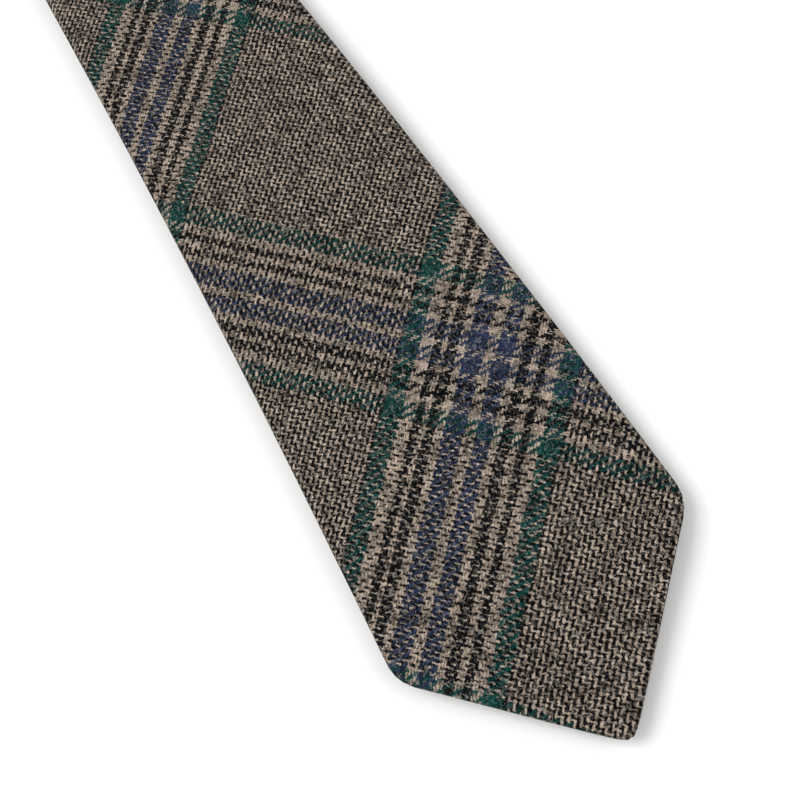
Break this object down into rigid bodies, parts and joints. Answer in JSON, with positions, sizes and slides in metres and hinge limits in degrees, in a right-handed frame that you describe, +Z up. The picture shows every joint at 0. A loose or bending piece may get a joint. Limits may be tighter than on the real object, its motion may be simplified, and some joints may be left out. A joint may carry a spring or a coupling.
{
  "type": "necktie",
  "caption": "Lined wool necktie laid doubled at the neck, wide pointed front blade over a narrow tail, with a keeper loop behind.",
  "frame": {"origin": "middle of the tie's box, on the surface that it lies on", "axes": "+Y from the pointed front tip towards the neck fold, +Z up from the surface to the front of the tie, +X across it"},
  "size_m": [0.08, 0.7588, 0.0089],
  "materials": {
    "wool_check": "brushed woollen tweed, a tan, black, blue and green check",
    "interlining": "brushed undyed wool canvas",
    "tipping": "dark satin lining",
    "thread": "dark brown sewing thread"
  },
  "bodies": {
    "front_upper": {"front_upper_shell": "wool_check", "neck_shell_front": "wool_check", "interlining_front_upper": "interlining", "slip_stitch_front_upper": "thread", "front_bias_seam": "thread"},
    "front_blade": {"front_blade_shell": "wool_check", "interlining_front": "interlining", "front_tipping": "tipping", "slip_stitch_front": "thread", "front_bar_tack": "thread", "keeper_loop": "wool_check", "keeper_tack_left": "thread", "keeper_tack_right": "thread"},
    "tail_upper": {"neck_shell_tail": "wool_check", "tail_upper_shell": "wool_check", "interlining_tail_upper": "interlining", "slip_stitch_tail_upper": "thread", "tail_bias_seam": "thread"},
    "tail_blade": {"tail_blade_shell": "wool_check", "interlining_tail": "interlining", "tail_tipping": "tipping", "slip_stitch_tail": "thread", "tail_bar_tack": "thread"}
  },
  "joints": [
    {"name": "front_fold", "type": "hinge", "parent": "front_upper", "child": "front_blade", "pos_m": [0, -0.01087, 0.0092], "axis": [-1, 0, 0], "range_deg": [0, 175]},
    {"name": "neck_fold", "type": "hinge", "parent": "front_upper", "child": "tail_upper", "pos_m": [0, 0.37967, 0.00445], "axis": [1, 0, 0], "range_deg": [0, 180]},
    {"name": "tail_fold", "type": "hinge", "parent": "tail_upper", "child": "tail_blade", "pos_m": [0, -0.01087, -0.0003], "axis": [1, 0, 0], "range_deg": [0, 175]}
  ]
}
